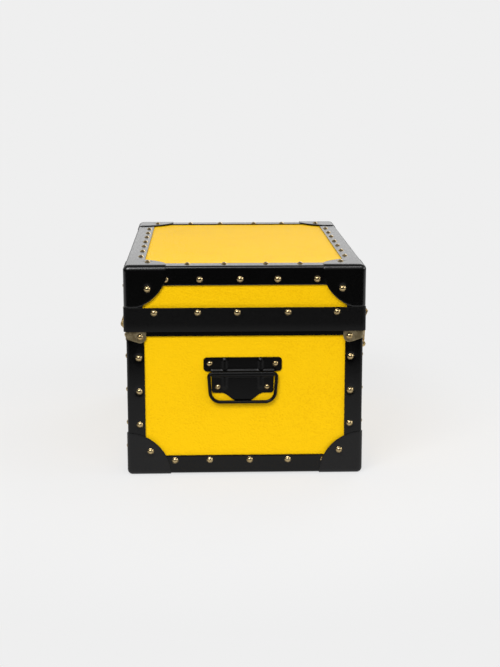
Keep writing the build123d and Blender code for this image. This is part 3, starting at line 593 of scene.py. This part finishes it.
def trimmed_heads(made, node):
    """Copy the heads that a cap cuts off, as the CAD has them."""
    source = clean_copy(node)
    cut = [group for group in islands(source) if not Seat(group).whole]
    keep = {v for group in cut for v in group}
    bmesh.ops.delete(source, geom=[v for v in source.verts if v not in keep], context="VERTS")
    spare = bpy.data.meshes.new("trimmed")
    source.to_mesh(spare)
    source.free()
    made.from_mesh(spare)
    bpy.data.meshes.remove(spare)


for rivet_node, group in seats.items():
    heads = bmesh.new()
    for seat in group:
        if seat.whole:
            add_head(heads, seat, SEAT_DEPTH)
    trimmed_heads(heads, rivet_node)
    piece(heads, f"{rivet_node}_domed", "brass_rivet", rivet_node)


# ---------------------------------------------------------------- drop handles

# The barrel round the grip, rolled from the plate
ROLL = 4.25 * MM                     # its outside
BORE = 2.8 * MM
ROLL_LENGTH = 91.0 * MM
ROLL_SEGMENTS = 40

# The plate: a flange above the barrel, an apron below it and a tongue under the apron
PLATE_SHEET = 1.2 * MM
PLATE_SHARP = math.radians(60)       # edges sharper than this are broken
PLATE_BREAK = 0.35 * MM              # by this much
PLATE_COLUMNS = 84                   # cells across it
CORNER_STEPS = 6
FLANGE_LOW = 3.4 * MM                # flange's lower edge above the axis
FLANGE_ROUND = 5.0 * MM
FLANGE_STEPS = 7
STEP_HALF = 2.0 * MM                 # the step from the flange in to the apron
STEP_DROP = 0.2 * MM
APRON_HALF = 45.0 * MM
APRON_TOP = 2.6 * MM                 # where its straight sides start above the axis
APRON_LOW = 28.8 * MM                # apron's level lower edge below the axis
APRON_ROUND = 4.5 * MM
APRON_STEPS = 14
SHOULDER_FALL = 0.35 * MM            # the lower edge drops this much on its way to the tongue
NECK_DROP = 11.5 * MM                # and this much more beside it
NECK_START = 0.36                    # the share of the way where the neck starts
NECK_SPREAD = 0.8
TONGUE_HALF = 12.5 * MM
TONGUE_LOW = 43.0 * MM
TONGUE_TAPER = 1.4 * MM
TONGUE_STEPS = 3

# The sheet's sweep up into the barrel, and the ribs pressed in it
SWEEP_REACH = 2.6 * MM
SWEEP_RISE = 2.2 * MM
SWEEP_PAST = 2.0 * MM                # how far it goes on beside the barrel's ends
SWEEP_FADE = 2.5 * MM
RIB_HALF = 4.9 * MM
RIB_RISE = 2.4 * MM
RIB_STEEPNESS = 1.25
RIB_PLACE = 26.2 * MM
RIB_TOP = 5.0 * MM                   # below the flange's top edge
RIB_LOW = 24.0 * MM                  # below the axis
HANDLE_RIPPLE = 0.05 * MM
HANDLE_RIPPLE_SCALE = 40.0

# The bent wire
GRIP_WIRE = 2.5 * MM
GRIP_SEGMENTS = 28
GRIP_SLACK = 0.05 * MM               # the wire is kept this far inside its CAD surface
GRIP_SIDE_SLACK = 0.1 * MM
GRIP_END = 1.0 * MM                  # half the gap between its ends inside the barrel
LEG_TAPER = 3.0 * MM                 # the grip's legs lean in by this much
TOP_BEND = 4.0 * MM
LOW_BEND = 15.5 * MM
BEND_STEPS = 14


def plate_corner(half, level, radius, angle, inward):
    """A point of the plate's rounded corner. inward is -1 where the plate is below it, 1 above."""
    return half - radius * (1 - math.cos(angle)), level + inward * radius * (1 - math.sin(angle))


def plate_outline(half, top):
    """Half widths and heights of the plate's outline, from its top edge down to its tongue."""
    quarter = [math.pi / 2 * i / CORNER_STEPS for i in range(CORNER_STEPS + 1)]
    points = [plate_corner(half, top, FLANGE_ROUND, angle, -1) for angle in reversed(quarter)]
    straight = top - FLANGE_LOW - 2 * FLANGE_ROUND
    points += [(half, top - FLANGE_ROUND - straight * i / FLANGE_STEPS) for i in range(1, FLANGE_STEPS)]
    points += [plate_corner(half, FLANGE_LOW, FLANGE_ROUND, angle, 1) for angle in quarter]
    points.append((APRON_HALF + STEP_HALF, FLANGE_LOW - STEP_DROP))
    fall = APRON_TOP + APRON_LOW - APRON_ROUND
    points += [(APRON_HALF, APRON_TOP - fall * i / APRON_STEPS) for i in range(APRON_STEPS + 1)]
    points += [plate_corner(APRON_HALF, -APRON_LOW, APRON_ROUND, angle, 1) for angle in quarter[1:]]
    shoulder = APRON_HALF - APRON_ROUND
    for i in range(1, APRON_STEPS + 1):
        share = i / APRON_STEPS
        drop = NECK_DROP * smooth_step((share - NECK_START) / NECK_SPREAD) + SHOULDER_FALL * share
        points.append((shoulder - (shoulder - TONGUE_HALF) * share, -APRON_LOW - drop))
    last = points[-1][1]
    for i in range(1, TONGUE_STEPS + 1):
        share = i / TONGUE_STEPS
        points.append((TONGUE_HALF - TONGUE_TAPER * share, last - (TONGUE_LOW + last) * share))
    return points


def plate_height(across, up, top):
    """How far the pressed sheet stands off the trunk at a place on the plate."""
    # The sheet sweeps up into the barrel from above and below.
    nearness = (SWEEP_REACH + ROLL - abs(up)) / SWEEP_REACH
    within = ROLL_LENGTH / 2 + SWEEP_PAST - abs(across)
    height = PLATE_SHEET + SWEEP_RISE * smooth_step(nearness) * smooth_step(within / SWEEP_FADE)
    beside = abs(across) - RIB_PLACE
    for high, low in ((top - RIB_TOP, ROLL), (-ROLL, RIB_HALF - RIB_LOW)):
        along = max(0.0, up - high) + min(0.0, up - low)
        distance = math.hypot(beside, along)
        share = smooth_step((RIB_HALF - distance) / RIB_HALF * RIB_STEEPNESS)
        height = max(height, PLATE_SHEET + RIB_RISE * share)
    return height


def handle_plate(node, sign):
    """The pressed plate with its ribs, and the barrel rolled round the grip."""
    low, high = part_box(node)
    face = low.x if sign > 0 else high.x
    grip_low, grip_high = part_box(node.replace("plate", "grip"))
    axis_z = grip_high.z - GRIP_WIRE
    axis_x = (grip_low.x + grip_high.x) / 2
    middle = (low.y + high.y) / 2
    half = high.y - middle
    top = high.z - axis_z
    made = bmesh.new()
    columns = PLATE_COLUMNS
    rows = []
    for width, up in plate_outline(half, top):
        places = [width * (2 * j / columns - 1) for j in range(columns + 1)]
        rows.append([(across, up, plate_height(across, up, top)) for across in places])
    front = [
        [made.verts.new((face + sign * height, middle + across, axis_z + up)) for across, up, height in row]
        for row in rows
    ]
    back = [[made.verts.new((face, middle + across, axis_z + up)) for across, up, _ in row] for row in rows]
    for i in range(len(rows) - 1):
        for j in range(columns):
            made.faces.new((front[i][j], front[i][j + 1], front[i + 1][j + 1], front[i + 1][j]))
            made.faces.new((back[i][j], back[i + 1][j], back[i + 1][j + 1], back[i][j + 1]))
        for j, flip in ((0, False), (columns, True)):
            wall = (front[i][j], front[i + 1][j], back[i + 1][j], back[i][j])
            made.faces.new(wall[::-1] if flip else wall)
    for i in (0, len(rows) - 1):
        for j in range(columns):
            made.faces.new((front[i][j], back[i][j], back[i][j + 1], front[i][j + 1]))
    bmesh.ops.recalc_face_normals(made, faces=made.faces)
    rim = [
        edge
        for edge in made.edges
        if edge.calc_face_angle(0.0) > PLATE_SHARP
        and all(abs(abs(end.co.x - face) - PLATE_SHEET) < EDGE_BREAK for end in edge.verts)
    ]
    bmesh.ops.bevel(
        made, geom=rim, offset=PLATE_BREAK, segments=2, profile=0.5, affect="EDGES", clamp_overlap=True
    )

    segments = ROLL_SEGMENTS
    # The barrel's section at one end, from the bore out: millimetres past its end, and radius
    end_section = ((-0.35, BORE), (0.0, BORE + 0.3 * MM), (0.0, ROLL - 0.4 * MM), (-0.3, ROLL))
    ends = [(-1, *at) for at in end_section] + [(1, *at) for at in reversed(end_section)]
    rings = []
    for side, past, radius in ends:
        along = middle + side * (ROLL_LENGTH / 2 + past * MM)
        rings.append([
            made.verts.new((
                axis_x + radius * math.cos(2 * math.pi * k / segments),
                along,
                axis_z + radius * math.sin(2 * math.pi * k / segments),
            ))
            for k in range(segments)
        ])
    for i, ring in enumerate(rings):
        other = rings[(i + 1) % len(rings)]
        for k in range(segments):
            m = (k + 1) % segments
            made.faces.new((ring[k], ring[m], other[m], other[k]))
    ripple(made, HANDLE_RIPPLE, HANDLE_RIPPLE_SCALE)
    return piece(made, f"{node}_pressed", "black_handle_steel", node)


def arc_points(corner, before, after, radius, count):
    """Points of the arc that rounds a corner between two directions."""
    to_before = (before - corner).normalized()
    to_after = (after - corner).normalized()
    half_angle = math.acos(max(-1.0, min(1.0, to_before.dot(to_after)))) / 2
    middle = (to_before + to_after).normalized()
    centre = corner + middle * radius / math.sin(half_angle)
    reach = radius / math.tan(half_angle)
    start = (corner + to_before * reach - centre).normalized()
    turn = -start.angle_signed((corner + to_after * reach - centre).normalized())
    return [centre + radius * (Matrix.Rotation(turn * i / count, 2) @ start) for i in range(count + 1)]


def handle_grip(node):
    """The bent wire grip, swept along its path."""
    low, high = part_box(node)
    axis_z = high.z - GRIP_WIRE
    middle = (low.y + high.y) / 2
    top_half = (high.y - low.y) / 2 - GRIP_WIRE - GRIP_SIDE_SLACK
    low_half = top_half - LEG_TAPER
    drop = axis_z - low.z - GRIP_WIRE
    corners = [
        Vector(corner)
        for corner in (
            (GRIP_END, 0.0), (top_half, 0.0), (low_half, -drop),
            (-low_half, -drop), (-top_half, 0.0), (-GRIP_END, 0.0),
        )
    ]
    path = [corners[0]]
    for i, radius in enumerate((TOP_BEND, LOW_BEND, LOW_BEND, TOP_BEND), 1):
        path += arc_points(corners[i], corners[i - 1], corners[i + 1], radius, BEND_STEPS)
    path.append(corners[-1])
    made = bmesh.new()
    segments = GRIP_SEGMENTS
    reach = GRIP_WIRE - GRIP_SLACK
    centre_x = (low.x + high.x) / 2
    previous = None
    for i, point in enumerate(path):
        ahead = path[min(i + 1, len(path) - 1)] - path[max(i - 1, 0)]
        along = ahead.normalized()
        side = Vector((-along.y, along.x))
        ring = []
        for k in range(segments):
            angle = 2 * math.pi * k / segments
            flat = point + side * reach * math.cos(angle)
            place = (centre_x + reach * math.sin(angle), middle + flat.x, axis_z + flat.y)
            ring.append(made.verts.new(place))
        if previous:
            for k in range(segments):
                m = (k + 1) % segments
                made.faces.new((previous[k], previous[m], ring[m], ring[k]))
        else:
            made.faces.new(ring)
        previous = ring
    made.faces.new(previous[::-1])
    return piece(made, f"{node}_bent", "black_handle_steel", node)


for sign, side_name in zip(SIDES, ("left", "right")):
    handle_plate(f"handle_plate_{side_name}", sign)
    handle_grip(f"handle_grip_{side_name}")


# ---------------------------------------------------------------- hinges, catches, lock and stay


def hardware(node, material, width=EDGE_BREAK):
    """A small casting or stamping with broken edges."""
    made = clean_copy(node)
    break_edges(made, width)
    return piece(made, f"{node}_finished", material, node)


BRASS_NODES = (
    "hinge_body_leaves", "hinge_lid_leaves", "hinge_pins", "catch_plates", "catch_pins", "catch_strikes",
    "catch_claw_left", "catch_claw_right", "lock_case", "lock_hasp", "lock_bolt",
)
STAY_BREAK = 0.2 * MM
for brass_node in BRASS_NODES:
    hardware(brass_node, "brass_hardware")
for stay_node in ("stay_quadrant", "stay_keeper"):
    hardware(stay_node, "stay_steel", STAY_BREAK)


# ---------------------------------------------------------------- boards, covers and linings

for node, shown in frame["nodes"].items():
    if node.endswith("_board"):
        shown.material_slots[0].material = materials["plywood"]
    elif node.endswith("_cover"):
        shown.material_slots[0].material = materials["yellow_leathercloth"]
    elif node.endswith("_lining"):
        shown.material_slots[0].material = materials["lining_paper"]


# ---------------------------------------------------------------- studio

PALE = 0.863                         # the backdrop's tone
LIT_FLOOR = 0.98                     # what the lights alone would make of the paper
FLOOR_AHEAD = 0.62                   # the paper goes this far past the near end
FLOOR_REACH = 2.4                    # and this far on the other sides
FLOOR_GAP = 0.02 * MM
FLOOR_MATT = 0.20                    # its grey for the lights near the trunk; the rest it gives itself
FLOOR_FADE = (0.45, 0.85)            # between these distances from the middle the grey goes to none
centre = (cad_low + cad_high) / 2


def studio_floor():
    """Plain pale paper under the trunk, ending short in front of it."""
    made = bmesh.new()
    near, far = cad_low.x - FLOOR_AHEAD, cad_high.x + FLOOR_REACH
    corners = ((near, -FLOOR_REACH), (far, -FLOOR_REACH), (far, FLOOR_REACH), (near, FLOOR_REACH))
    made.faces.new([made.verts.new((x, y, cad_low.z - FLOOR_GAP)) for x, y in corners])
    mesh = bpy.data.meshes.new("floor")
    made.to_mesh(mesh)
    made.free()
    floor = bpy.data.objects.new("floor", mesh)
    bpy.context.scene.collection.objects.link(floor)
    paper = bpy.data.materials.new("pale paper")
    paper.use_nodes = True
    tree = paper.node_tree
    tree.nodes.clear()
    place = add_node(paper, "ShaderNodeTexCoord", {}).outputs["Object"]
    flat = add_node(paper, "ShaderNodeVectorMath", {0: place, 1: (1.0, 1.0, 0.0)}, operation="MULTIPLY")
    away = add_node(paper, "ShaderNodeVectorMath", {0: flat.outputs["Vector"]}, operation="LENGTH")
    share = add_node(
        paper,
        "ShaderNodeMapRange",
        {
            "Value": away.outputs["Value"],
            "From Min": FLOOR_FADE[0],
            "From Max": FLOOR_FADE[1],
            "To Min": FLOOR_MATT,
            "To Max": 0.0,
        },
        interpolation_type="SMOOTHSTEP",
    ).outputs["Result"]
    glow = add_node(paper, "ShaderNodeMath", {0: share, 1: -LIT_FLOOR, 2: PALE}, operation="MULTIPLY_ADD")
    light = add_node(paper, "ShaderNodeEmission", {"Strength": glow.outputs["Value"]})
    tone = add_node(paper, "ShaderNodeCombineColor", {"Red": share, "Green": share, "Blue": share})
    matt = add_node(paper, "ShaderNodeBsdfDiffuse", {"Color": tone.outputs["Color"]})
    both = add_node(paper, "ShaderNodeAddShader", {0: light.outputs["Emission"], 1: matt.outputs["BSDF"]})
    add_node(paper, "ShaderNodeOutputMaterial", {"Surface": both.outputs["Shader"]})
    mesh.materials.append(paper)


def studio_world():
    """Seen directly it is the pale backdrop. It lights softly, with a bright low wall behind."""
    world = bpy.data.worlds.new("studio")
    bpy.context.scene.world = world
    world.use_nodes = True
    world.node_tree.nodes.clear()
    direction = add_node(world, "ShaderNodeTexCoord", {}).outputs["Generated"]
    parts = add_node(world, "ShaderNodeSeparateXYZ", {"Vector": direction}).outputs
    height = add_node(
        world, "ShaderNodeMapRange", {"Value": parts["Z"], "From Min": -1.0, "From Max": 1.0}
    ).outputs["Result"]
    room = ramp_of(
        world, height, (0.49, 0.02), (0.52, 0.04), (0.60, 0.10), (0.70, 0.42), (0.86, 0.50), (1.0, 0.22)
    )
    wall = ramp_of(world, height, (0.50, 0.0), (0.52, 1.0), (0.62, 1.0), (0.74, 0.2), (0.9, 0.0))
    ahead = add_node(
        world, "ShaderNodeMapRange", {"Value": parts["X"], "From Min": 0.15, "From Max": 0.75}
    ).outputs["Result"]
    glow = add_node(world, "ShaderNodeMath", {0: wall, 1: ahead, 2: 0.0}, operation="MULTIPLY_ADD")
    total = add_node(world, "ShaderNodeMath", {0: room, 1: glow.outputs["Value"]}, operation="ADD")
    white = (1.0, 1.0, 1.0, 1.0)
    lighting = add_node(world, "ShaderNodeBackground", {"Color": white, "Strength": total.outputs["Value"]})
    backdrop = add_node(world, "ShaderNodeBackground", {"Color": white, "Strength": PALE})
    seen = add_node(world, "ShaderNodeLightPath", {}).outputs["Is Camera Ray"]
    mixed = add_node(
        world,
        "ShaderNodeMixShader",
        {0: seen, 1: lighting.outputs["Background"], 2: backdrop.outputs["Background"]},
    )
    add_node(world, "ShaderNodeOutputWorld", {"Surface": mixed.outputs["Shader"]})


def softbox(name, place, size, power):
    """A rectangular light aimed at the trunk."""
    lamp = bpy.data.lights.new(name, "AREA")
    lamp.shape = "RECTANGLE"
    lamp.size, lamp.size_y = size
    lamp.energy = power
    holder = bpy.data.objects.new(name, lamp)
    bpy.context.scene.collection.objects.link(holder)
    holder.location = place
    holder.rotation_mode = "QUATERNION"
    holder.rotation_quaternion = (centre - Vector(place)).to_track_quat("-Z", "Y")


studio_floor()
studio_world()
softbox("key", (-2.05, 0.95, 1.95), (1.3, 1.1), 37.0)
softbox("strip", (-1.7, 0.0, 2.3), (2.6, 0.4), 22.0)
softbox("side", (-0.7, -2.3, 0.9), (1.2, 1.0), 14.0)
softbox("rear fill", (2.2, -1.2, 2.0), (1.4, 1.0), 18.0)
bpy.context.scene.view_settings.view_transform = "Standard"


# ---------------------------------------------------------------- camera

CAMERA_PLACE = (-2.184, 0.0576, 0.6045)
CAMERA_AIM = (0.9792, -0.0330, -0.2001)
LENS = 73.37

camera_data = bpy.data.cameras.new("camera")
camera_data.sensor_width = 36.0
camera_data.lens = LENS
camera = bpy.data.objects.new("camera", camera_data)
bpy.context.scene.collection.objects.link(camera)
camera.location = CAMERA_PLACE
camera.rotation_mode = "QUATERNION"
camera.rotation_quaternion = Vector(CAMERA_AIM).to_track_quat("-Z", "Y")
bpy.context.scene.camera = camera
